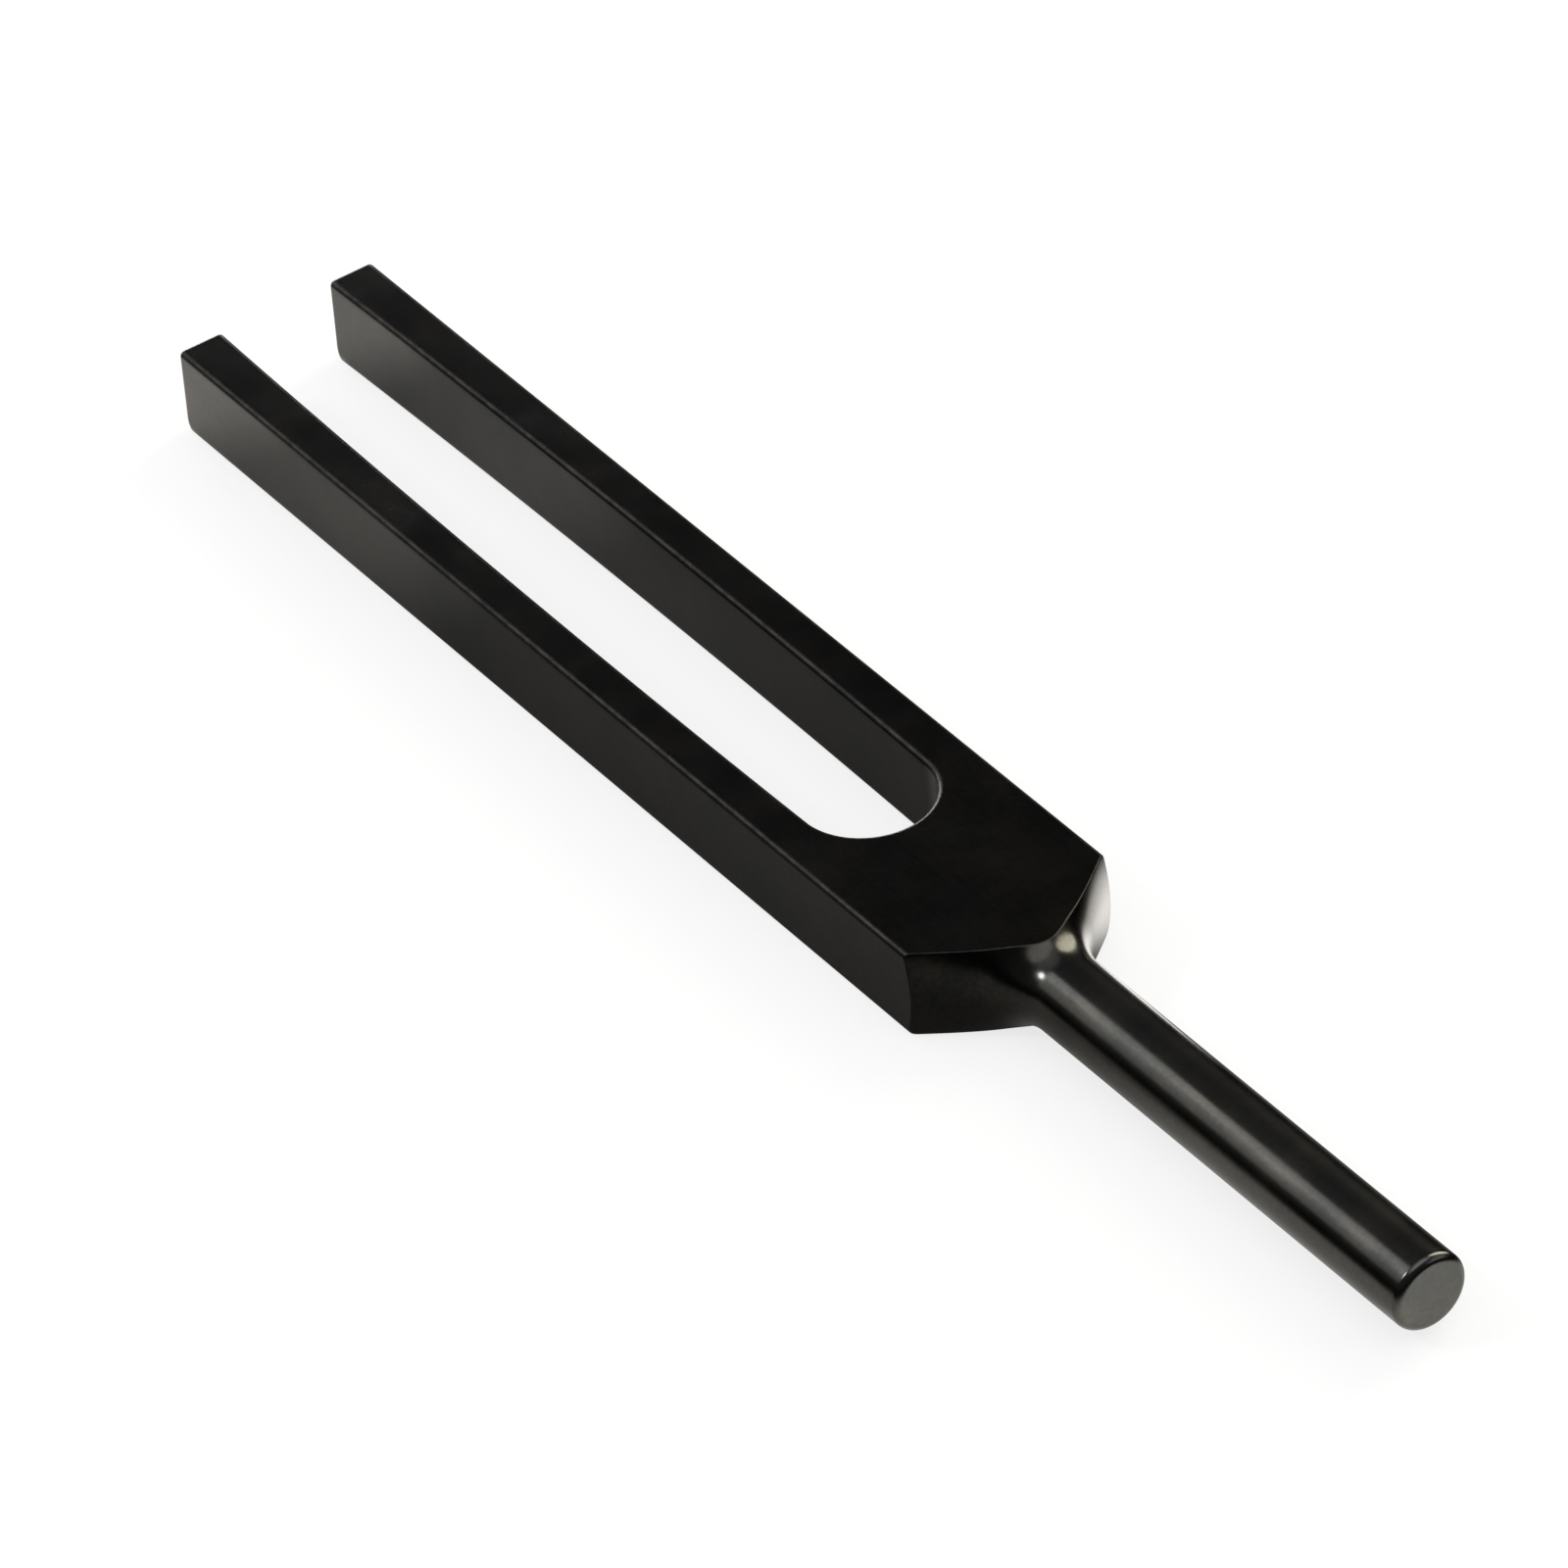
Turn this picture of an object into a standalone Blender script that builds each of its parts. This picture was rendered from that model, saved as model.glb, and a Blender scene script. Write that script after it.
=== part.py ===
"""Tuning fork, modelled as the working members of one machined bar.

The fork lies flat on a broad face. +Y runs from the foot of the stem to the tips of the tines
and +Z is up. The origin is under the middle of the fork, on the surface that it lies on.
The members are the yoke, with its round slot root and turned shoulder, the stem, and the two
tines, which swing about the line where they leave the yoke.
"""

import math

import bmesh
import bpy
from mathutils import Vector

# Driving dimensions, in metres and radians.
HEAD_WIDTH = 0.0190
THICKNESS = 0.0080
SHOULDER_TO_TIP = 0.1005  # from the corners where the shoulder starts
SHOULDER_TO_FOOT = 0.0530
SHOULDER_TO_SLOT_CENTRE = 0.0180  # to the centre of the slot's round root
SHOULDER_TO_HOLLOW = 0.0500  # to where the tines are thinnest
SLOT_RADIUS = 0.0056  # half of the slot's width at its root
SLOT_HALF_WIDTH_AT_HOLLOW = 0.0059
SLOT_HALF_WIDTH_AT_TIP = 0.00525
STEM_RADIUS = 0.00335
SHOULDER_ANGLE = math.radians(50)  # between the shoulder's slope and the stem's axis
NECK_FILLET_RADIUS = 0.0052
NECK_LENGTH = 0.0085  # from the shoulder's corners to where the stem starts
EDGE_ROUNDING = 0.0004
TIP_LOWER_ROUNDING = 0.0013  # on the lower edge of each tip
FOOT_ROUNDING = 0.0007
MEMBER_GAP = 0.0003  # between two members

# Fineness of the round shapes.
TURNED_STEPS = 96
FILLET_STEPS = 10
LARGE_ROUNDING_STEPS = 3  # on the foot's rim and on the lower edge of each tip
ROUNDING_STEPS = 2
TINE_STEPS = 24
CUTTER_MARGIN = 0.002
MERGE_DISTANCE = 0.00001
ALONG_TO_ACROSS = 10  # an edge runs along Y if it reaches this many times further along Y
SHARP_EDGE_ANGLE = math.radians(30)  # an edge that turns more is shaded sharp
CORNER_ANGLE = math.radians(45)  # an edge of the bar that turns more is rounded

# Derived places.
LENGTH = SHOULDER_TO_TIP + SHOULDER_TO_FOOT
MIDDLE_HEIGHT = THICKNESS / 2
FOOT_Y = -LENGTH / 2
TIP_Y = LENGTH / 2
SHOULDER_Y = FOOT_Y + SHOULDER_TO_FOOT
SLOT_CENTRE_Y = SHOULDER_Y + SHOULDER_TO_SLOT_CENTRE
HOLLOW_Y = SHOULDER_Y + SHOULDER_TO_HOLLOW
NECK_END_Y = SHOULDER_Y - NECK_LENGTH
TINE_ROOT_MIDDLE_X = (HEAD_WIDTH / 2 + SLOT_RADIUS) / 2

COLOUR = (0.012, 0.012, 0.013, 1.0)
ROUGHNESS = 0.28
METALLIC = 0.9


def clear_scene():
    for old in list(bpy.data.objects):
        bpy.data.objects.remove(old)


def new_collection(name):
    collection = bpy.data.collections.new(name)
    bpy.context.scene.collection.children.link(collection)
    return collection


def black_finish(name):
    """The fork's black anodised finish."""
    material = bpy.data.materials.new(name)
    material.use_nodes = True
    shader = material.node_tree.nodes["Principled BSDF"]
    shader.inputs["Base Color"].default_value = COLOUR
    shader.inputs["Roughness"].default_value = ROUGHNESS
    shader.inputs["Metallic"].default_value = METALLIC
    return material


def add_object(name, mesh, collection, location):
    made = bpy.data.objects.new(name, mesh)
    made.location = location
    collection.objects.link(made)
    return made


def add_part(name, mesh, location):
    made = add_object(name, mesh, parts, location)
    mesh.materials.append(black_finish(name + "_finish"))
    mesh.shade_smooth()
    mesh.set_sharp_from_angle(angle=SHARP_EDGE_ANGLE)
    return made


def add_cutter(name, mesh, location):
    made = add_object(name, mesh, cutters, location)
    made.hide_render = True
    made.display_type = "WIRE"
    return made


def mesh_from(bm, name):
    mesh = bpy.data.meshes.new(name)
    bm.to_mesh(mesh)
    bm.free()
    return mesh


def box(size_x, size_y, size_z):
    """A bmesh box in the middle of its own origin."""
    bm = bmesh.new()
    bmesh.ops.create_cube(bm, size=1.0)
    bmesh.ops.scale(bm, vec=Vector((size_x, size_y, size_z)), verts=bm.verts)
    return bm


def runs_along_y(edge):
    step = edge.verts[0].co - edge.verts[1].co
    return abs(step.y) > ALONG_TO_ACROSS * math.hypot(step.x, step.z)


def round_edges(bm, edges, radius=EDGE_ROUNDING, steps=ROUNDING_STEPS):
    bmesh.ops.bevel(
        bm,
        geom=edges,
        offset=radius,
        segments=steps,
        profile=0.5,
        affect="EDGES",
        clamp_overlap=True,
    )


def boolean(target, cutter, operation):
    modifier = target.modifiers.new(cutter.name, "BOOLEAN")
    modifier.operation = operation
    modifier.solver = "EXACT"
    modifier.object = cutter


def turned_mesh(name, profile):
    """Turns a profile of (radius, height) points, listed from the top down, about its own Z."""
    mesh = bpy.data.meshes.new(name)
    points = [(radius, 0.0, height) for radius, height in profile]
    mesh.from_pydata(points, [(i, i + 1) for i in range(len(points) - 1)], [])
    return mesh


def turn(made):
    """Makes the profile a solid of revolution whose axis lies along +Y."""
    made.rotation_euler = (-math.pi / 2, 0.0, 0.0)
    screw = made.modifiers.new("turn", "SCREW")
    screw.axis = "Z"
    screw.steps = TURNED_STEPS
    screw.render_steps = TURNED_STEPS
    screw.use_merge_vertices = True
    screw.merge_threshold = MERGE_DISTANCE
    screw.use_smooth_shade = True


def arc(centre_radius, centre_height, radius, start, end, steps):
    """Points on an arc as (radius from the axis, height), ends included."""
    angles = [start + (end - start) * i / steps for i in range(steps + 1)]
    return [
        (centre_radius + radius * math.cos(angle), centre_height + radius * math.sin(angle))
        for angle in angles
    ]


def shoulder_profile():
    """The turned envelope of the yoke, with heights measured from the shoulder's corners."""
    corner_radius = math.hypot(HEAD_WIDTH, THICKNESS) / 2
    rise_per_radius = 1 / math.tan(SHOULDER_ANGLE)
    outer_radius = corner_radius + CUTTER_MARGIN
    top = SHOULDER_TO_SLOT_CENTRE + CUTTER_MARGIN
    sharp_neck_height = (STEM_RADIUS - corner_radius) * rise_per_radius
    tangent_length = NECK_FILLET_RADIUS * math.tan(SHOULDER_ANGLE / 2)
    fillet = arc(
        STEM_RADIUS + NECK_FILLET_RADIUS,
        sharp_neck_height - tangent_length,
        NECK_FILLET_RADIUS,
        math.pi - SHOULDER_ANGLE,
        math.pi,
        FILLET_STEPS,
    )
    return [
        (0.0, top),
        (outer_radius, top),
        (outer_radius, CUTTER_MARGIN * rise_per_radius),
        *fillet,
        (STEM_RADIUS, -NECK_LENGTH),
        (0.0, -NECK_LENGTH),
    ]


def bar_mesh():
    """The rectangular bar that the yoke is cut from, with its long edges rounded."""
    length = SHOULDER_TO_SLOT_CENTRE + NECK_LENGTH + CUTTER_MARGIN
    bm = box(HEAD_WIDTH, length, THICKNESS)
    round_edges(bm, [edge for edge in bm.edges if runs_along_y(edge)])
    bmesh.ops.translate(
        bm, vec=Vector((0.0, SHOULDER_TO_SLOT_CENTRE - length / 2, 0.0)), verts=bm.verts
    )
    return mesh_from(bm, "yoke")


def slot_root_mesh():
    bm = bmesh.new()
    bmesh.ops.create_cone(
        bm,
        cap_ends=True,
        segments=TURNED_STEPS,
        radius1=SLOT_RADIUS,
        radius2=SLOT_RADIUS,
        depth=THICKNESS + 2 * CUTTER_MARGIN,
    )
    return mesh_from(bm, "slot_root_cutter")


def make_yoke():
    yoke = add_part("yoke", bar_mesh(), (0.0, SHOULDER_Y, MIDDLE_HEIGHT))
    profile = turned_mesh("turned_shoulder_cutter", shoulder_profile())
    envelope = add_cutter("turned_shoulder_cutter", profile, yoke.location)
    turn(envelope)
    slot_root = add_cutter(
        "slot_root_cutter", slot_root_mesh(), (0.0, SLOT_CENTRE_Y, MIDDLE_HEIGHT)
    )
    boolean(yoke, envelope, "INTERSECT")
    boolean(yoke, slot_root, "DIFFERENCE")


def make_stem():
    """The round stem, with its foot at the object's origin."""
    top = NECK_END_Y - MEMBER_GAP - FOOT_Y
    rounded_foot = arc(
        STEM_RADIUS - FOOT_ROUNDING,
        FOOT_ROUNDING,
        FOOT_ROUNDING,
        0.0,
        -math.pi / 2,
        LARGE_ROUNDING_STEPS,
    )
    profile = [(0.0, top), (STEM_RADIUS, top), *rounded_foot, (0.0, 0.0)]
    stem = add_part("stem", turned_mesh("stem", profile), (0.0, FOOT_Y, MIDDLE_HEIGHT))
    turn(stem)


def slot_half_width(y):
    """Half of the slot's width at a place along the tines, which are hollowed a little inside."""
    if y < HOLLOW_Y:
        end_y, end_half_width = SLOT_CENTRE_Y, SLOT_RADIUS
    else:
        end_y, end_half_width = TIP_Y, SLOT_HALF_WIDTH_AT_TIP
    share = (y - HOLLOW_Y) / (end_y - HOLLOW_Y)
    return SLOT_HALF_WIDTH_AT_HOLLOW + (end_half_width - SLOT_HALF_WIDTH_AT_HOLLOW) * share**2


def is_corner(edge):
    """True for a corner between two faces, and False for a step along a curved face."""
    return edge.calc_face_angle() > CORNER_ANGLE


def tine_blank(side, pivot):
    """The tine with sharp edges: straight outside, and following the slot inside."""
    root_y = SLOT_CENTRE_Y + MEMBER_GAP
    length = TIP_Y - root_y
    bm = box(1.0, length, THICKNESS)
    along = [edge for edge in bm.edges if runs_along_y(edge)]
    bmesh.ops.subdivide_edges(bm, edges=along, cuts=TINE_STEPS - 1, use_grid_fill=True)
    for vert in bm.verts:
        y = vert.co.y + root_y + length / 2
        outer = vert.co.x > 0
        x = HEAD_WIDTH / 2 if outer else slot_half_width(y)
        vert.co = Vector((side * x, y, vert.co.z + MIDDLE_HEIGHT)) - pivot
    bm.normal_update()
    bmesh.ops.recalc_face_normals(bm, faces=bm.faces)
    return bm


def lower_tip_edges(bm):
    tip = TIP_Y - SLOT_CENTRE_Y
    return [
        edge
        for edge in bm.edges
        if all(vert.co.z < 0 and abs(vert.co.y - tip) < MERGE_DISTANCE for vert in edge.verts)
    ]


def corners_beyond_root(bm):
    """All corners but those of the flat end where the tine meets the yoke."""
    root = MEMBER_GAP + MERGE_DISTANCE
    return [
        edge
        for edge in bm.edges
        if is_corner(edge) and any(vert.co.y > root for vert in edge.verts)
    ]


def make_tine(name, side):
    """A tine on side -1 or +1 of X. Its origin is on the hinge line at its root."""
    pivot = Vector((side * TINE_ROOT_MIDDLE_X, SLOT_CENTRE_Y, MIDDLE_HEIGHT))
    bm = tine_blank(side, pivot)
    round_edges(bm, lower_tip_edges(bm), TIP_LOWER_ROUNDING, LARGE_ROUNDING_STEPS)
    bm.normal_update()
    round_edges(bm, corners_beyond_root(bm))
    add_part(name, mesh_from(bm, name), pivot)


clear_scene()
parts = new_collection("tuning_fork")
cutters = new_collection("cutters")
make_yoke()
make_stem()
make_tine("left_tine", -1)
make_tine("right_tine", 1)
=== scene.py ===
"""Looks of the tuning fork: one black, glossy piece of metal, modelled as four fine meshes.

The yoke and the stem ride on the handle. Each tine is a mesh of its own, flush with the yoke at
its root.
"""

import math

import bmesh
import bpy
from mathutils import Matrix, Vector


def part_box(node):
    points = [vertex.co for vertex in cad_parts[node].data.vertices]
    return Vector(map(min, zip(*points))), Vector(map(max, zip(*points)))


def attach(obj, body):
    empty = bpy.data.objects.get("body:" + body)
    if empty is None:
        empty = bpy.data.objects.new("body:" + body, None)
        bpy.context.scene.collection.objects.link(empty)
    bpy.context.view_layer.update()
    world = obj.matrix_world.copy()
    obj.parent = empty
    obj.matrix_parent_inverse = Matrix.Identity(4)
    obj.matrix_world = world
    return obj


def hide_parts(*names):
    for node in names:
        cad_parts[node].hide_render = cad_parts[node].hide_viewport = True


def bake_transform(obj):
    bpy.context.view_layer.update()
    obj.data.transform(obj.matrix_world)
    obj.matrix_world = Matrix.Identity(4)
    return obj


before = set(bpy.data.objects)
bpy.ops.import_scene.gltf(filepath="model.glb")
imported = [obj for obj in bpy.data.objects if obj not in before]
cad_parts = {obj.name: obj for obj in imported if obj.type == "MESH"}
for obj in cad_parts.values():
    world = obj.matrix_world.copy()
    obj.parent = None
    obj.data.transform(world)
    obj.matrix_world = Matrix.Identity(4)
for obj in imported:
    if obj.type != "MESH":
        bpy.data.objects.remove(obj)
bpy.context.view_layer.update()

# Places and sizes of the solid parts, in metres.
YOKE_LOW, YOKE_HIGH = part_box("yoke")
STEM_LOW, STEM_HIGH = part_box("stem")
LEFT_TINE_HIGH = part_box("left_tine")[1]
HALF_WIDTH = YOKE_HIGH.x
HALF_THICKNESS = YOKE_HIGH.z / 2
MIDDLE_HEIGHT = HALF_THICKNESS
STEM_RADIUS = STEM_HIGH.x
NECK_END_Y = YOKE_LOW.y
SLOT_CENTRE_Y = YOKE_HIGH.y
FOOT_Y = STEM_LOW.y
TIP_Y = LEFT_TINE_HIGH.y

# The fork's other dimensions.
SLOT_RADIUS = 0.0056  # half of the slot's width at its root
SLOT_HALF_WIDTH_AT_HOLLOW = 0.0059
SLOT_HALF_WIDTH_AT_TIP = -LEFT_TINE_HIGH.x
ROOT_TO_HOLLOW = 0.0320
SHOULDER_ANGLE = math.radians(50)  # between the shoulder's slope and the stem's axis
NECK_FILLET_RADIUS = 0.0052
NECK_LENGTH = 0.0085
LONG_EDGE_ROUNDING = 0.0005
SHOULDER_EDGE_ROUNDING = 0.0003
TIP_ROUNDING = 0.0004
TIP_LOWER_ROUNDING = 0.0013
FOOT_ROUNDING = 0.0007
SHOULDER_Y = NECK_END_Y + NECK_LENGTH
HOLLOW_Y = SLOT_CENTRE_Y + ROOT_TO_HOLLOW
CORNER_RADIUS = math.hypot(HALF_WIDTH, HALF_THICKNESS)
FILLET_START_RADIUS = STEM_RADIUS + NECK_FILLET_RADIUS * (1 - math.cos(SHOULDER_ANGLE))

# Fineness of the meshes.
FLAT_STEPS = (24, 64)  # across a narrow side and a broad face of the yoke
ROUNDING_STEPS = 6
MERIDIAN_STEPS = 30
SLOT_ROOT_STEPS = 72
TINE_STEPS = 56
TINE_SIDE_STEPS = 18
STEM_STEPS = 144
STEM_ROWS = 12
FLOOR_STEPS = 96
HALVINGS = 50  # enough to find a place on a curve exactly
SAME_POINT = 1e-7  # vertices nearer than this are one

# The bar's four sides, in the order of its section.
SIDES = RIGHT, TOP, LEFT, BOTTOM = range(4)

# The camera, which looks from the foot's end, from the left and from above.
VIEW_AZIMUTH = math.radians(-32.55)
VIEW_ELEVATION = math.radians(38.63)
VIEW_ROLL = math.radians(4.82)
VIEW_DISTANCE = 0.94
VIEW_LENS = 277.2
VIEW_AIM = Vector((-0.0017, 0.0031, MIDDLE_HEIGHT))

# Places that the lights point at.
STEM_MIDDLE = (0.0, -0.05, MIDDLE_HEIGHT)
NECK = (0.0, -0.02, MIDDLE_HEIGHT)
FORK_MIDDLE = (0.0, 0.0, MIDDLE_HEIGHT)
TIPS = (0.0, 0.07, MIDDLE_HEIGHT)

# The finish's colours, linear: the head; the stem, lighter as a painted sheen; and rubbed edges,
# lighter partly from rubbing and partly as a painted edge highlight.
BLACK = (0.017, 0.0185, 0.0178, 1.0)
WARM_BLACK = (0.032, 0.028, 0.024, 1.0)
STEM_SHEEN_BLACK = (0.061, 0.063, 0.060, 1.0)
STEM_SHEEN_WARM_BLACK = (0.084, 0.079, 0.070, 1.0)
# Rubbed edges: lighter from rubbing, and also a painted highlight along the rounded edges.
RUBBED_AND_HIGHLIGHT = (0.060, 0.059, 0.057, 1.0)
RUBBED_AND_HIGHLIGHT_SHARE = 0.4
STEM_SHEEN_FROM_Y = SHOULDER_Y - 0.004  # the stem's painted sheen comes in from here to the neck's end

# The finish's patterns. A scale is about how many features there are in a metre.
SMUDGE_SCALE = 170.0
PATCH_SCALE = 130.0
PATCH_DETAIL = 5.0
PATCH_ROUGHNESS = 0.7
SPECKLE_SCALE = 2400.0
RUB_AND_HIGHLIGHT_SCALE = 900.0
TURNING_MARK_SCALE = 5200.0
MILLING_MARK_SCALE = 3800.0
MILLING_MARK_STRETCH = (1.0, 0.03, 1.0)  # the marks run along Y
FINE_DETAIL = 2.0
MOTTLE_RANGE = (0.38, 0.62)
RUB_AND_HIGHLIGHT_RANGE = (0.42, 0.62)
MIDDLE_VALUE = 0.5  # the average of a pattern
SPECKLE_IN_COLOUR = 0.5
SPECKLE_IN_BUMP = 0.6

# The finish's roughness, as what each pattern adds to it, and its relief.
LEAST_ROUGHNESS = 0.12
MARK_ROUGHNESS = 0.05
SMUDGE_ROUGHNESS = {"milled": 0.18, "turned": 0.14}
WEAR_ROUGHNESS = {"milled": 0.22, "turned": 0.03}
BUMP_STRENGTH = 0.2
BUMP_DISTANCE = 0.000004

# The floor: its own colours, and the pools of light on it that polished metal sees.
FLOOR_RADIUS = 6.0
FLOOR_DARKER = (0.86, 0.86, 0.86, 1.0)
FLOOR_LIGHTER = (0.89, 0.89, 0.89, 1.0)
FLOOR_PATCH_SCALE = 12.0
FLOOR_ROUGHNESS = 0.9
FLOOR_SPECULAR = 0.1
FLOOR_GLOW = (0.95, 0.95, 0.95, 1.0)
FLOOR_GLOW_SHARE = 0.8
POOL_COLOUR = (1.0, 0.975, 0.93, 1.0)
POOL_FADE = (1.5, 0.5)  # in radii from the pool's centre, from dark to full
POOLS = (  # centre and radii in metres, strength
    ((-0.010, 0.0), (0.030, 0.11), 0.30),
    ((-0.012, -0.064), (0.016, 0.027), 0.52),
    ((0.0, 0.064), (0.040, 0.018), 0.42),
    ((0.0, 0.088), (0.040, 0.014), 1.00),
    ((0.017, -0.0255), (0.007, 0.0045), 3.20),
    ((0.035, 0.040), (0.025, 0.040), 0.80),
    ((0.006, -0.084), (0.014, 0.010), 1.35),
)
CONTACT_DISTANCE = 0.008  # the fork darkens the pools this near to it
CONTACT_RANGE = (-0.5, 1.0)

# The room: pale, but seen by polished metal as dark at the horizon, dim above and pale overhead.
ROOM_PALE = (0.85, 0.85, 0.85, 1.0)
ROOM_DARK = (0.004, 0.004, 0.004, 1.0)
ROOM_DIM = (0.10, 0.10, 0.105, 1.0)
ROOM_OVERHEAD = (0.60, 0.61, 0.62, 1.0)
DIM_HEIGHTS = (0.06, 0.3)  # heights of a direction one unit long
OVERHEAD_HEIGHTS = (0.80, 0.92)

# A mesh carries its edge rubbing, which also places a painted edge highlight, under this name, and
# milled and turned faces use these materials.
WEAR_AND_HIGHLIGHT = "edge_wear_and_highlight"
MILLED, TURNED = 0, 1


# ---------------------------------------------------------------- mesh tools


class Shape:
    """A mesh being made, with a value at each vertex that says how exposed to rubbing it is, which
    also places a painted edge highlight.
    """

    def __init__(self):
        self.bm = bmesh.new()
        self.wear_and_highlight = self.bm.verts.layers.float.new(WEAR_AND_HIGHLIGHT)

    def vert(self, x, y, z, wear_and_highlight=0.0):
        made = self.bm.verts.new((x, y, z))
        made[self.wear_and_highlight] = wear_and_highlight
        return made

    def face(self, verts, material=MILLED):
        made = self.bm.faces.new(verts)
        made.material_index = material
        return made

    def cap(self, verts, material=MILLED):
        """A flat end where another piece goes on: its outline is a sharp edge."""
        for edge in self.face(verts, material).edges:
            edge.smooth = False

    def strip(self, first, second, material=MILLED, closed=False):
        """Quads between two rows of vertices."""
        count = len(first)
        for i in range(count if closed else count - 1):
            j = (i + 1) % count
            self.face((first[i], first[j], second[j], second[i]), material)

    def finish(self, name, materials):
        bmesh.ops.remove_doubles(self.bm, verts=self.bm.verts, dist=SAME_POINT)
        bmesh.ops.recalc_face_normals(self.bm, faces=self.bm.faces)
        for face in self.bm.faces:
            face.smooth = True
        mesh = bpy.data.meshes.new(name)
        self.bm.to_mesh(mesh)
        self.bm.free()
        for material in materials:
            mesh.materials.append(material)
        made = bpy.data.objects.new(name, mesh)
        bpy.context.scene.collection.objects.link(made)
        normals = made.modifiers.new("flat faces stay flat", "WEIGHTED_NORMAL")
        normals.keep_sharp = True
        return made


def shares(steps):
    """Even shares from 0 to 1, ends included."""
    return [i / steps for i in range(steps + 1)]


def rounding():
    """(angle, wear_and_highlight) along a quarter-round edge."""
    return [(t * math.pi / 2, math.sin(t * math.pi)) for t in shares(ROUNDING_STEPS)]


# ---------------------------------------------------------------- yoke


def side_section(side):
    """A flat side and the rounded corner after it, as (x, z, wear_and_highlight), with the side
    facing right.
    """
    upright = side in (RIGHT, LEFT)
    out = HALF_WIDTH if upright else HALF_THICKNESS
    along = HALF_THICKNESS if upright else HALF_WIDTH
    radius = LONG_EDGE_ROUNDING
    reach = math.atan2(along - radius, out)
    flat = [
        (out, out * math.tan(reach * (2 * t - 1)), 0.0)
        for t in shares(FLAT_STEPS[side % 2])
    ]
    corner = [
        (out - radius + radius * math.cos(angle), along - radius + radius * math.sin(angle), wear_and_highlight)
        for angle, wear_and_highlight in rounding()[1:-1]
    ]
    return flat + corner


def bar_section():
    """The bar's outline about its axis, as (x, z, wear_and_highlight), anticlockwise from the
    right side.
    """
    points = []
    for side, (cosine, sine) in zip(SIDES, ((1, 0), (0, 1), (-1, 0), (0, -1))):
        points += [
            (x * cosine - z * sine, x * sine + z * cosine, wear_and_highlight)
            for x, z, wear_and_highlight in side_section(side)
        ]
    return points


def flat_spans():
    """(first, last) point of each flat side in the bar's outline."""
    spans = []
    first = 0
    for side in SIDES:
        last = first + FLAT_STEPS[side % 2]
        spans.append((first, last))
        first = last + ROUNDING_STEPS
    return spans


def corner_points(count):
    """The points of the rounded corner after each side, in an outline of so many points."""
    return [
        [i % count for i in range(last, last + ROUNDING_STEPS + 1)]
        for _, last in flat_spans()
    ]


def shoulder_at(distance):
    """(radius, y) on the turned shoulder, at a distance along its profile from the neck's end."""
    fillet_top = SHOULDER_Y - (CORNER_RADIUS - FILLET_START_RADIUS) / math.tan(SHOULDER_ANGLE)
    fillet_low = fillet_top - NECK_FILLET_RADIUS * math.sin(SHOULDER_ANGLE)
    straight = fillet_low - NECK_END_Y
    if distance <= straight:
        return STEM_RADIUS, NECK_END_Y + distance
    angle = (distance - straight) / NECK_FILLET_RADIUS
    if angle <= SHOULDER_ANGLE:
        radius = STEM_RADIUS + NECK_FILLET_RADIUS * (1 - math.cos(angle))
        return radius, fillet_low + NECK_FILLET_RADIUS * math.sin(angle)
    beyond = distance - straight - NECK_FILLET_RADIUS * SHOULDER_ANGLE
    radius = FILLET_START_RADIUS + beyond * math.sin(SHOULDER_ANGLE)
    return radius, fillet_top + beyond * math.cos(SHOULDER_ANGLE)


def distance_to_radius(radius):
    """How far along the shoulder's profile its radius reaches a value."""
    low, high = 0.0, 2 * CORNER_RADIUS
    for _ in range(HALVINGS):
        middle = (low + high) / 2
        if shoulder_at(middle)[0] < radius:
            low = middle
        else:
            high = middle
    return high


def meridian(bar_radius):
    """(radius, y, wear_and_highlight) from the bar's side, round the shoulder's edge and down the
    neck.
    """
    meeting = distance_to_radius(bar_radius)
    corner = Vector(shoulder_at(meeting))
    slope = corner - Vector(shoulder_at(meeting - SHOULDER_EDGE_ROUNDING))
    turned_by = math.atan2(slope.x, slope.y)
    setback = SHOULDER_EDGE_ROUNDING * math.tan(turned_by / 2)
    above = corner + Vector((0, setback))
    below = Vector(shoulder_at(meeting - setback))
    rows = []
    for t in shares(ROUNDING_STEPS):
        point = above * (1 - t) ** 2 + corner * (2 * t * (1 - t)) + below * t**2
        rows.append((point.x, point.y, math.sin(t * math.pi)))
    for t in shares(MERIDIAN_STEPS)[1:]:
        rows.append((*shoulder_at((meeting - setback) * (1 - t)), 0.0))
    return rows


def add_shoulder(shape, section):
    """The turned shoulder down to the neck's end. Returns its outline on the bar."""
    lines = [meridian(math.hypot(x, z)) for x, z, _ in section]
    rows = []
    for k in range(len(lines[0])):
        fade = max(0.0, 1 - k / ROUNDING_STEPS)
        row = []
        for (x, z, section_wear_and_highlight), line in zip(section, lines):
            radius, y, edge_wear_and_highlight = line[k]
            share = radius / math.hypot(x, z)
            wear_and_highlight = max(edge_wear_and_highlight, section_wear_and_highlight * fade)
            row.append(shape.vert(x * share, y, MIDDLE_HEIGHT + z * share, wear_and_highlight))
        rows.append(row)
    for k, (first, second) in enumerate(zip(rows, rows[1:])):
        shape.strip(first, second, MILLED if k < ROUNDING_STEPS else TURNED, closed=True)
    shape.cap(rows[-1], TURNED)
    return rows[0]


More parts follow.
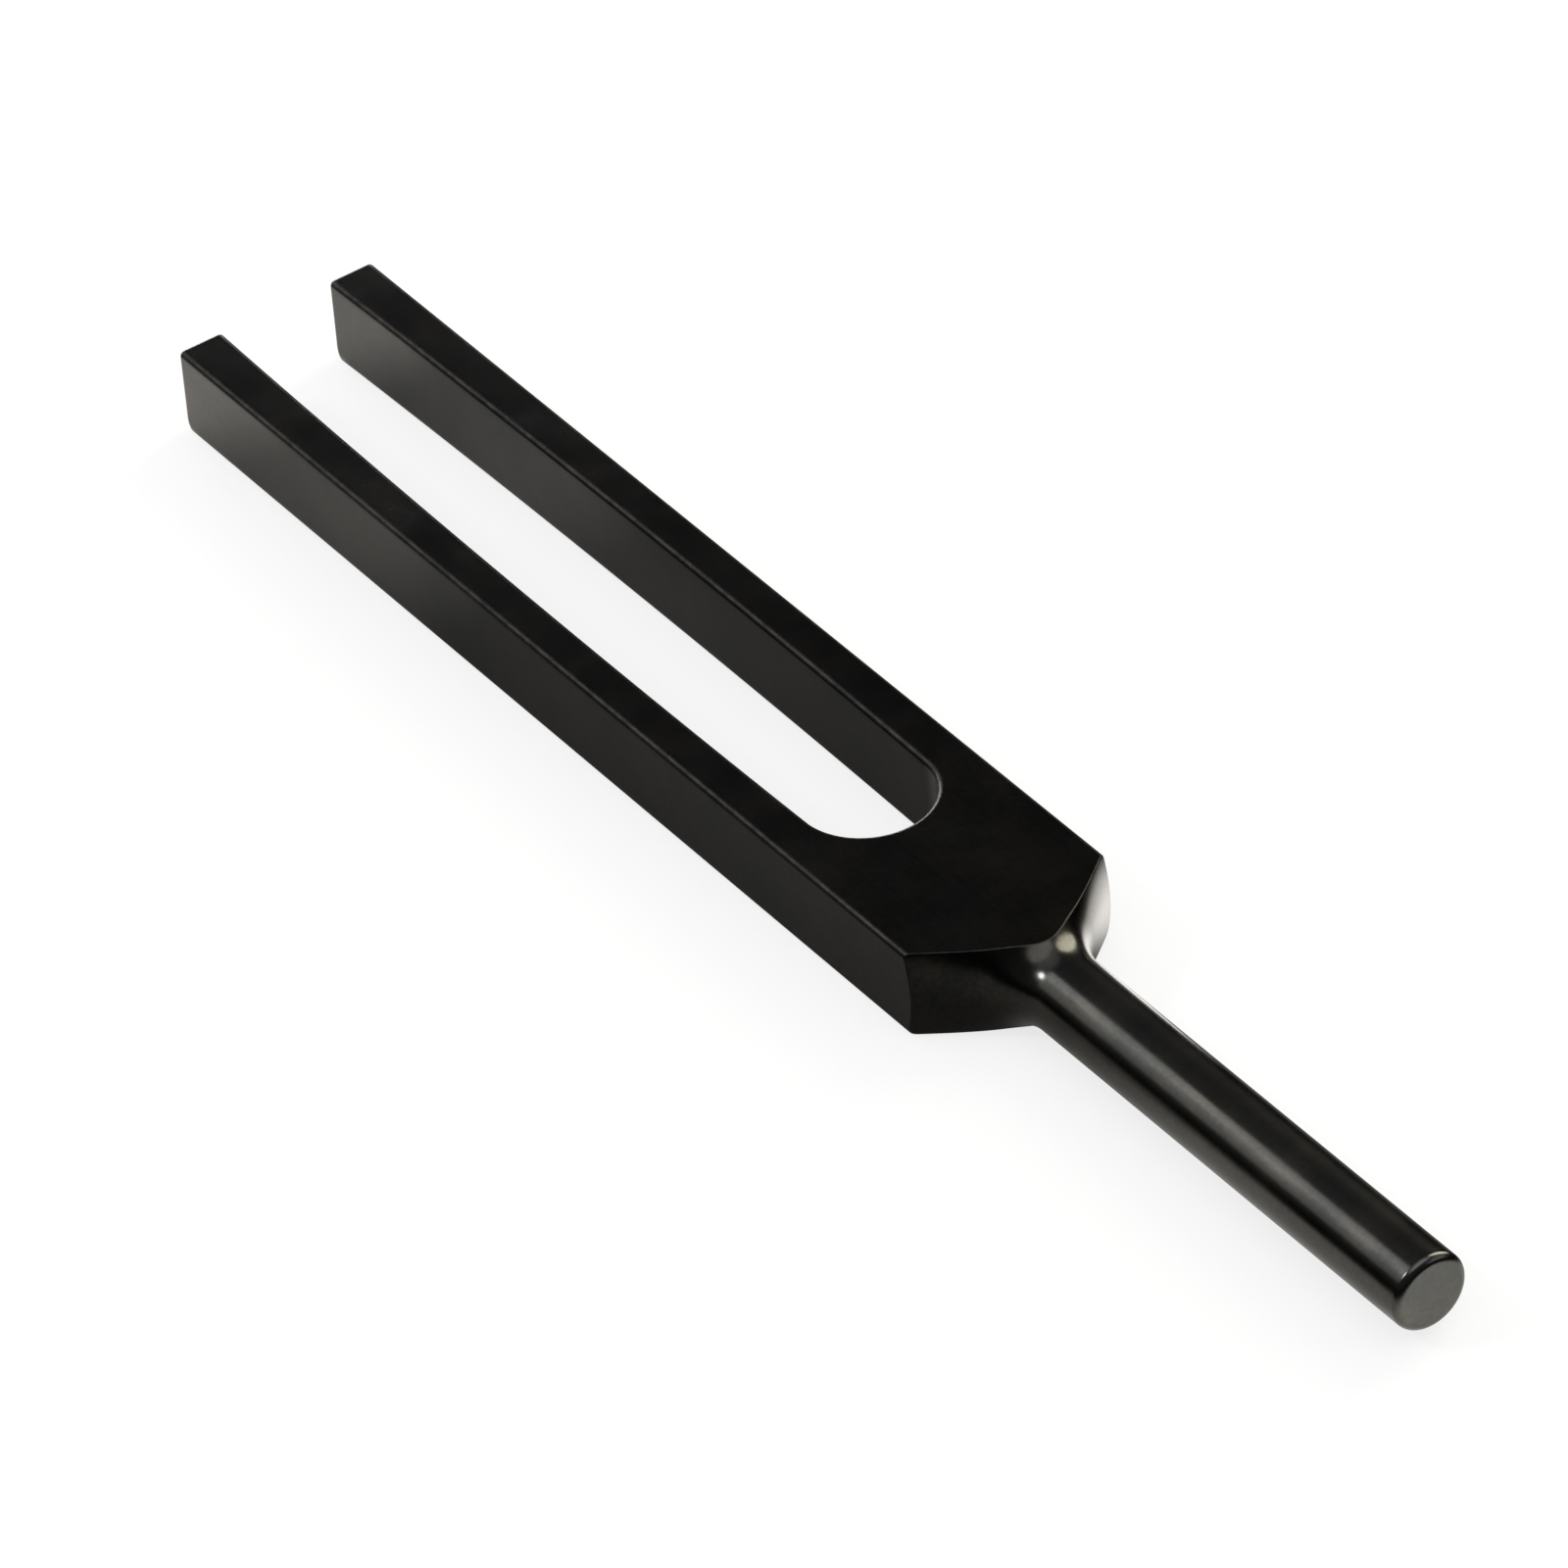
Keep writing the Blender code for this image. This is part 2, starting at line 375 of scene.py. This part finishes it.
def add_corners(shape, section, outline):
    """The bar's rounded corners up to the tines' roots. Returns their far ends by point."""
    ends = {}
    for corner in corner_points(len(section)):
        for i in corner:
            x, z, wear_and_highlight = section[i]
            ends[i] = shape.vert(x, SLOT_CENTRE_Y, MIDDLE_HEIGHT + z, wear_and_highlight)
        shape.strip([outline[i] for i in corner], [ends[i] for i in corner])
    return ends


def slot_profile():
    """The slot root from top to bottom, as (distance from its axis, height, wear_and_highlight).
    """
    upper = [
        (
            SLOT_RADIUS + LONG_EDGE_ROUNDING * (1 - math.cos(angle)),
            HALF_THICKNESS - LONG_EDGE_ROUNDING * (1 - math.sin(angle)),
            wear_and_highlight,
        )
        for angle, wear_and_highlight in reversed(rounding())
    ]
    return upper + [(distance, -height, wear_and_highlight) for distance, height, wear_and_highlight in reversed(upper)]


def add_slot_root(shape):
    """The slot's round root. Returns its columns, from the left tine to the right one."""
    profile = slot_profile()
    columns = []
    for t in shares(SLOT_ROOT_STEPS):
        angle = math.pi * (1 + t)
        columns.append([
            shape.vert(
                distance * math.cos(angle),
                SLOT_CENTRE_Y + distance * math.sin(angle),
                MIDDLE_HEIGHT + height,
                wear_and_highlight,
            )
            for distance, height, wear_and_highlight in profile
        ])
    for first, second in zip(columns, columns[1:]):
        shape.strip(first, second)
    return columns


def add_flats(shape, outline, ends, columns):
    """The narrow sides, and the broad faces around the slot's root."""
    around_root = {
        TOP: [column[0] for column in columns],
        BOTTOM: [column[-1] for column in reversed(columns)],
    }
    for side, (first, last) in zip(SIDES, flat_spans()):
        flat = outline[first:last + 1]
        shape.face([*flat, ends[last], *around_root.get(side, []), ends[first]])


def make_yoke(materials):
    shape = Shape()
    section = bar_section()
    outline = add_shoulder(shape, section)
    ends = add_corners(shape, section, outline)
    columns = add_slot_root(shape)
    add_flats(shape, outline, ends, columns)
    corners = corner_points(len(section))
    left_seam = [ends[i] for i in corners[TOP] + corners[LEFT]]
    right_seam = [ends[i] for i in corners[BOTTOM] + corners[RIGHT]]
    shape.cap([*left_seam, *reversed(columns[0])])
    shape.cap([*right_seam, *columns[-1]])
    return shape.finish("yoke_body", materials)


# ---------------------------------------------------------------- tines


def slot_half_width(y):
    """Half of the slot's width along the tines, which are hollowed a little inside."""
    if y < HOLLOW_Y:
        end_y, end_half_width = SLOT_CENTRE_Y, SLOT_RADIUS
    else:
        end_y, end_half_width = TIP_Y, SLOT_HALF_WIDTH_AT_TIP
    share = (y - HOLLOW_Y) / (end_y - HOLLOW_Y)
    return SLOT_HALF_WIDTH_AT_HOLLOW + (end_half_width - SLOT_HALF_WIDTH_AT_HOLLOW) * share**2


def tine_section(inner_x, inset, radius):
    """The tine's rounded outline as (x, height from the middle, wear_and_highlight), from its
    outer side.
    """
    low_x, high_x = inner_x + inset, HALF_WIDTH - inset
    half_height = HALF_THICKNESS - inset
    centres = [
        (high_x - radius, half_height - radius, 0.0),
        (low_x + radius, half_height - radius, math.pi / 2),
        (low_x + radius, radius - half_height, math.pi),
        (high_x - radius, radius - half_height, 1.5 * math.pi),
    ]
    points = []
    for i, (x, z, start) in enumerate(centres):
        points += [
            (x + radius * math.cos(start + angle), z + radius * math.sin(start + angle), wear_and_highlight)
            for angle, wear_and_highlight in rounding()
        ]
        next_z = centres[(i + 1) % len(centres)][1]
        if next_z != z:
            edge_x = points[-1][0]
            side = shares(TINE_SIDE_STEPS)[1:-1]
            points += [(edge_x, z + (next_z - z) * t, 0.0) for t in side]
    return points


def tip_setback(height):
    """How far the lower edge of a tip is rounded back at a height above the underside."""
    short = max(0.0, TIP_LOWER_ROUNDING - height)
    return TIP_LOWER_ROUNDING - math.sqrt(TIP_LOWER_ROUNDING**2 - short**2)


def tine_stations():
    """(y, how far round the tip's edge, wear_and_highlight) from the tine's root to its tip."""
    straight_end = TIP_Y - TIP_ROUNDING
    length = straight_end - SLOT_CENTRE_Y
    stations = [(SLOT_CENTRE_Y + length * t, 0.0, 0.0) for t in shares(TINE_STEPS)]
    stations += [
        (straight_end + TIP_ROUNDING * math.sin(angle), angle, wear_and_highlight)
        for angle, wear_and_highlight in rounding()[1:]
    ]
    return stations


def make_tine(name, side, materials):
    shape = Shape()
    rows = []
    for y, angle, end_wear_and_highlight in tine_stations():
        inset = LONG_EDGE_ROUNDING * (1 - math.cos(angle))
        section = tine_section(slot_half_width(y), inset, LONG_EDGE_ROUNDING - inset)
        taper = max(0.0, 1 - (TIP_Y - y) / (2 * TIP_LOWER_ROUNDING))
        rows.append([
            shape.vert(
                side * x,
                y - taper * tip_setback(MIDDLE_HEIGHT + height),
                MIDDLE_HEIGHT + height,
                max(wear_and_highlight, end_wear_and_highlight),
            )
            for x, height, wear_and_highlight in section
        ])
    for first, second in zip(rows, rows[1:]):
        shape.strip(first, second, closed=True)
    shape.cap(rows[0])
    shape.face(rows[-1])
    return shape.finish(name, materials)


# ---------------------------------------------------------------- stem


def stem_profile():
    """(radius, y, wear_and_highlight) from the neck's end to the rounded foot."""
    straight_end = FOOT_Y + FOOT_ROUNDING
    length = straight_end - NECK_END_Y
    straight = [(STEM_RADIUS, NECK_END_Y + length * t, 0.0) for t in shares(STEM_ROWS)]
    rounded = [
        (
            STEM_RADIUS - FOOT_ROUNDING * (1 - math.cos(angle)),
            straight_end - FOOT_ROUNDING * math.sin(angle),
            wear_and_highlight,
        )
        for angle, wear_and_highlight in rounding()[1:]
    ]
    return straight + rounded


def make_stem(materials):
    shape = Shape()
    angles = [2 * math.pi * i / STEM_STEPS for i in range(STEM_STEPS)]
    rows = [
        [
            shape.vert(radius * math.cos(angle), y, MIDDLE_HEIGHT + radius * math.sin(angle), wear_and_highlight)
            for angle in angles
        ]
        for radius, y, wear_and_highlight in stem_profile()
    ]
    for first, second in zip(rows, rows[1:]):
        shape.strip(first, second, TURNED, closed=True)
    shape.cap(rows[0], TURNED)
    shape.face(rows[-1], TURNED)
    return shape.finish("stem_body", materials)


# ---------------------------------------------------------------- materials


class Nodes:
    """Short ways to add and link shader nodes."""

    def __init__(self, tree):
        self.tree = tree

    def add(self, kind, **settings):
        made = self.tree.nodes.new(kind)
        for name, value in settings.items():
            setattr(made, name, value)
        return made

    def put(self, socket, value):
        if isinstance(value, bpy.types.NodeSocket):
            self.tree.links.new(value, socket)
        else:
            socket.default_value = value

    def math(self, operation, a, b, clamp=False):
        made = self.add("ShaderNodeMath", operation=operation, use_clamp=clamp)
        self.put(made.inputs[0], a)
        self.put(made.inputs[1], b)
        return made.outputs[0]

    def vector_math(self, operation, a, b):
        made = self.add("ShaderNodeVectorMath", operation=operation)
        self.put(made.inputs[0], a)
        self.put(made.inputs[1], b)
        return made.outputs["Vector"]

    def length(self, vector):
        made = self.add("ShaderNodeVectorMath", operation="LENGTH")
        self.put(made.inputs[0], vector)
        return made.outputs["Value"]

    def along(self, axis, vector):
        made = self.add("ShaderNodeSeparateXYZ")
        self.put(made.inputs[0], vector)
        return made.outputs[axis]

    def noise(self, vector, scale, detail=3.0, roughness=0.55):
        made = self.add("ShaderNodeTexNoise")
        self.put(made.inputs["Vector"], vector)
        made.inputs["Scale"].default_value = scale
        made.inputs["Detail"].default_value = detail
        made.inputs["Roughness"].default_value = roughness
        return made.outputs["Fac"]

    def ramp(self, value, low, high, kind="LINEAR"):
        """0 at the low value and beyond it, and 1 at the high value and beyond it."""
        made = self.add("ShaderNodeMapRange", interpolation_type=kind)
        self.put(made.inputs["Value"], value)
        made.inputs["From Min"].default_value = low
        made.inputs["From Max"].default_value = high
        return made.outputs["Result"]

    def mix(self, factor, first, second):
        made = self.add("ShaderNodeMix", data_type="RGBA")
        self.put(made.inputs["Factor"], factor)
        self.put(made.inputs["A"], first)
        self.put(made.inputs["B"], second)
        return made.outputs["Result"]

    def mix_shader(self, factor, first, second):
        made = self.add("ShaderNodeMixShader")
        self.put(made.inputs["Fac"], factor)
        self.put(made.inputs[1], first)
        self.put(made.inputs[2], second)
        return made.outputs[0]

    def emission(self, colour, strength=1.0):
        made = self.add("ShaderNodeEmission")
        self.put(made.inputs["Color"], colour)
        self.put(made.inputs["Strength"], strength)
        return made.outputs[0]


def turning_marks(nodes, position):
    """Fine rings around the stem's axis, both along the stem and on its flat end."""
    centred = nodes.vector_math("SUBTRACT", position, (0.0, 0.0, MIDDLE_HEIGHT))
    from_axis = nodes.length(nodes.vector_math("MULTIPLY", centred, (1.0, 0.0, 1.0)))
    marks = nodes.add("ShaderNodeTexNoise", noise_dimensions="1D")
    nodes.put(marks.inputs["W"], nodes.math("ADD", from_axis, nodes.along("Y", position)))
    marks.inputs["Scale"].default_value = TURNING_MARK_SCALE
    marks.inputs["Detail"].default_value = FINE_DETAIL
    return marks.outputs["Fac"]


def milling_marks(nodes, position):
    """Fine lines along the bar."""
    stretched = nodes.vector_math("MULTIPLY", position, MILLING_MARK_STRETCH)
    return nodes.noise(stretched, MILLING_MARK_SCALE, detail=FINE_DETAIL)


def finish_colour(nodes, position, speckle, wear_and_highlight_map, turned):
    """Black with a faint warm mottle; lighter on the stem as a painted sheen, and on rubbed edges,
    partly from rubbing and partly as a painted edge highlight.
    """
    patches = nodes.noise(position, PATCH_SCALE, PATCH_DETAIL, PATCH_ROUGHNESS)
    grain = nodes.math("SUBTRACT", speckle, MIDDLE_VALUE)
    grain = nodes.math("MULTIPLY", grain, SPECKLE_IN_COLOUR)
    mottle = nodes.ramp(nodes.math("ADD", patches, grain), *MOTTLE_RANGE)
    colour = nodes.mix(mottle, BLACK, WARM_BLACK)
    if turned:
        # Painted sheen: the stem and the neck are given a lighter colour, which fades out up the
        # shoulder.
        stem_sheen = nodes.ramp(nodes.along("Y", position), STEM_SHEEN_FROM_Y, NECK_END_Y)
        colour = nodes.mix(stem_sheen, colour, nodes.mix(mottle, STEM_SHEEN_BLACK, STEM_SHEEN_WARM_BLACK))
    # Painted edge highlight, in patches: the rubbed colour also lightens the rounded edges where
    # light would catch them.
    rubs_and_highlights = nodes.ramp(nodes.noise(position, RUB_AND_HIGHLIGHT_SCALE), *RUB_AND_HIGHLIGHT_RANGE)
    wear_and_highlight = nodes.math("MULTIPLY", wear_and_highlight_map, rubs_and_highlights, clamp=True)
    return nodes.mix(nodes.math("MULTIPLY", wear_and_highlight, RUBBED_AND_HIGHLIGHT_SHARE), colour, RUBBED_AND_HIGHLIGHT)


def finish_roughness(nodes, position, marks, wear_and_highlight_map, kind):
    """Gloss that is smudged, and duller on tool marks and worn edges."""
    smudges = nodes.noise(position, SMUDGE_SCALE)
    roughness = nodes.math("MULTIPLY", smudges, SMUDGE_ROUGHNESS[kind])
    roughness = nodes.math("ADD", roughness, LEAST_ROUGHNESS)
    for pattern, added in ((marks, MARK_ROUGHNESS), (wear_and_highlight_map, WEAR_ROUGHNESS[kind])):
        roughness = nodes.math("ADD", roughness, nodes.math("MULTIPLY", pattern, added))
    return roughness


def black_finish(name, kind):
    """Gloss black metal of a kind, milled or turned."""
    material = bpy.data.materials.new(name)
    material.use_nodes = True
    nodes = Nodes(material.node_tree)
    turned = kind == "turned"
    position = nodes.add("ShaderNodeTexCoord").outputs["Object"]
    speckle = nodes.noise(position, SPECKLE_SCALE, detail=FINE_DETAIL)
    marks = turning_marks(nodes, position) if turned else milling_marks(nodes, position)
    wear_and_highlight_map = nodes.add("ShaderNodeAttribute", attribute_name=WEAR_AND_HIGHLIGHT).outputs["Fac"]

    bump = nodes.add("ShaderNodeBump")
    bump.inputs["Strength"].default_value = BUMP_STRENGTH
    bump.inputs["Distance"].default_value = BUMP_DISTANCE
    relief = nodes.math("ADD", marks, nodes.math("MULTIPLY", speckle, SPECKLE_IN_BUMP))
    nodes.put(bump.inputs["Height"], relief)

    inputs = material.node_tree.nodes["Principled BSDF"].inputs
    inputs["Metallic"].default_value = 1.0
    colour = finish_colour(nodes, position, speckle, wear_and_highlight_map, turned)
    nodes.put(inputs["Base Color"], colour)
    nodes.put(inputs["Roughness"], finish_roughness(nodes, position, marks, wear_and_highlight_map, kind))
    nodes.put(inputs["Normal"], bump.outputs["Normal"])
    return material


def pool_light(nodes, position):
    """How bright polished metal sees each place on the floor."""
    light = 0.0
    for centre, radii, strength in POOLS:
        away = nodes.vector_math("SUBTRACT", position, (*centre, 0.0))
        away = nodes.vector_math("MULTIPLY", away, (1 / radii[0], 1 / radii[1], 0.0))
        inside = nodes.ramp(nodes.length(away), *POOL_FADE, kind="SMOOTHSTEP")
        light = nodes.math("ADD", light, nodes.math("MULTIPLY", inside, strength))
    contact = nodes.add("ShaderNodeAmbientOcclusion")
    contact.inputs["Distance"].default_value = CONTACT_DISTANCE
    shade = nodes.ramp(contact.outputs["AO"], *CONTACT_RANGE)
    return nodes.math("MULTIPLY", light, shade)


def floor_material():
    """A pale floor. Polished metal sees it as pools of light, and as dark further off."""
    material = bpy.data.materials.new("pale_floor")
    material.use_nodes = True
    nodes = Nodes(material.node_tree)
    position = nodes.add("ShaderNodeTexCoord").outputs["Object"]
    lit = material.node_tree.nodes["Principled BSDF"]
    patches = nodes.noise(position, FLOOR_PATCH_SCALE)
    nodes.put(lit.inputs["Base Color"], nodes.mix(patches, FLOOR_DARKER, FLOOR_LIGHTER))
    lit.inputs["Roughness"].default_value = FLOOR_ROUGHNESS
    lit.inputs["Specular IOR Level"].default_value = FLOOR_SPECULAR

    seen = nodes.mix_shader(FLOOR_GLOW_SHARE, lit.outputs[0], nodes.emission(FLOOR_GLOW))
    reflected = nodes.emission(POOL_COLOUR, pool_light(nodes, position))
    is_glossy = nodes.add("ShaderNodeLightPath").outputs["Is Glossy Ray"]
    output = material.node_tree.nodes["Material Output"]
    nodes.put(output.inputs["Surface"], nodes.mix_shader(is_glossy, seen, reflected))
    return material


# ---------------------------------------------------------------- studio


def add_floor():
    bm = bmesh.new()
    bmesh.ops.create_circle(bm, cap_ends=True, segments=FLOOR_STEPS, radius=FLOOR_RADIUS)
    mesh = bpy.data.meshes.new("floor")
    bm.to_mesh(mesh)
    bm.free()
    mesh.materials.append(floor_material())
    floor = bpy.data.objects.new("floor", mesh)
    bpy.context.scene.collection.objects.link(floor)


def softbox(name, azimuth, elevation, distance, size, radiance, target, tint=(1.0, 1.0, 1.0)):
    """A soft elliptical light, in degrees from +Y towards +X and up, as seen from its target."""
    turn, lift = math.radians(azimuth), math.radians(elevation)
    away = Vector((
        math.sin(turn) * math.cos(lift),
        math.cos(turn) * math.cos(lift),
        math.sin(lift),
    ))
    area = math.pi / 4 * size[0] * size[1]
    data = bpy.data.lights.new(name, "AREA")
    data.shape = "ELLIPSE"
    data.size, data.size_y = size
    data.energy = radiance * math.pi * area
    data.color = tint
    light = bpy.data.objects.new(name, data)
    light.location = Vector(target) + away * distance
    light.rotation_euler = away.to_track_quat("Z", "Y").to_euler()
    bpy.context.scene.collection.objects.link(light)


def add_lights():
    softbox(
        "streak_light", azimuth=-27, elevation=42, distance=0.8, size=(0.26, 0.26),
        radiance=2.0, target=STEM_MIDDLE,
    )
    softbox(
        "window", azimuth=-38, elevation=27, distance=0.8, size=(0.50, 0.26),
        radiance=0.75, target=STEM_MIDDLE,
    )
    softbox(
        "right_key", azimuth=78, elevation=32, distance=0.7, size=(0.32, 0.64),
        radiance=7.0, target=NECK, tint=(1.0, 0.97, 0.80),
    )
    softbox(
        "lamp", azimuth=-54, elevation=44, distance=2.0, size=(0.38, 0.38),
        radiance=29.0, target=STEM_MIDDLE,
    )
    softbox(
        "tips_light", azimuth=10, elevation=9, distance=0.3, size=(0.34, 0.09),
        radiance=10.0, target=TIPS,
    )
    softbox(
        "front_fill", azimuth=130, elevation=26, distance=0.8, size=(0.7, 0.4),
        radiance=0.9, target=FORK_MIDDLE,
    )
    softbox(
        "overhead", azimuth=180, elevation=80, distance=0.8, size=(0.9, 0.5),
        radiance=1.1, target=NECK,
    )


def add_world():
    """A pale room that lights the floor, and that polished metal sees as mostly dim."""
    world = bpy.data.worlds.new("studio")
    world.use_nodes = True
    bpy.context.scene.world = world
    nodes = Nodes(world.node_tree)
    height = nodes.along("Z", nodes.add("ShaderNodeTexCoord").outputs["Generated"])
    dim = nodes.mix(nodes.ramp(height, *DIM_HEIGHTS), ROOM_DARK, ROOM_DIM)
    dim = nodes.mix(nodes.ramp(height, *OVERHEAD_HEIGHTS), dim, ROOM_OVERHEAD)
    path = nodes.add("ShaderNodeLightPath").outputs
    is_pale = nodes.math("ADD", path["Is Camera Ray"], path["Is Diffuse Ray"], clamp=True)
    background = world.node_tree.nodes["Background"]
    nodes.put(background.inputs["Color"], nodes.mix(is_pale, dim, ROOM_PALE))
    background.inputs["Strength"].default_value = 1.0


def add_camera():
    towards = Vector((
        math.sin(VIEW_AZIMUTH) * math.cos(VIEW_ELEVATION),
        -math.cos(VIEW_AZIMUTH) * math.cos(VIEW_ELEVATION),
        math.sin(VIEW_ELEVATION),
    ))
    forward = -towards
    level = forward.cross(Vector((0.0, 0.0, 1.0))).normalized()
    right = Matrix.Rotation(VIEW_ROLL, 3, forward) @ level
    up = right.cross(forward)
    matrix = Matrix((right, up, towards)).transposed().to_4x4()
    matrix.translation = VIEW_AIM + towards * VIEW_DISTANCE
    data = bpy.data.cameras.new("camera")
    data.lens = VIEW_LENS
    camera = bpy.data.objects.new("camera", data)
    camera.matrix_world = matrix
    bpy.context.scene.collection.objects.link(camera)
    bpy.context.scene.camera = camera


# ---------------------------------------------------------------- the fork

add_camera()
add_world()
add_lights()
add_floor()

finishes = [black_finish("milled_black", "milled"), black_finish("turned_black", "turned")]

yoke = make_yoke(finishes)
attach(yoke, "handle")
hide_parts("yoke")

stem = make_stem(finishes)
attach(stem, "handle")
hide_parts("stem")

for side_name, side in (("left_tine", -1), ("right_tine", 1)):
    tine = make_tine(side_name + "_blade", side, finishes)
    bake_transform(tine)
    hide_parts(side_name)

bpy.context.scene.view_settings.view_transform = "Standard"
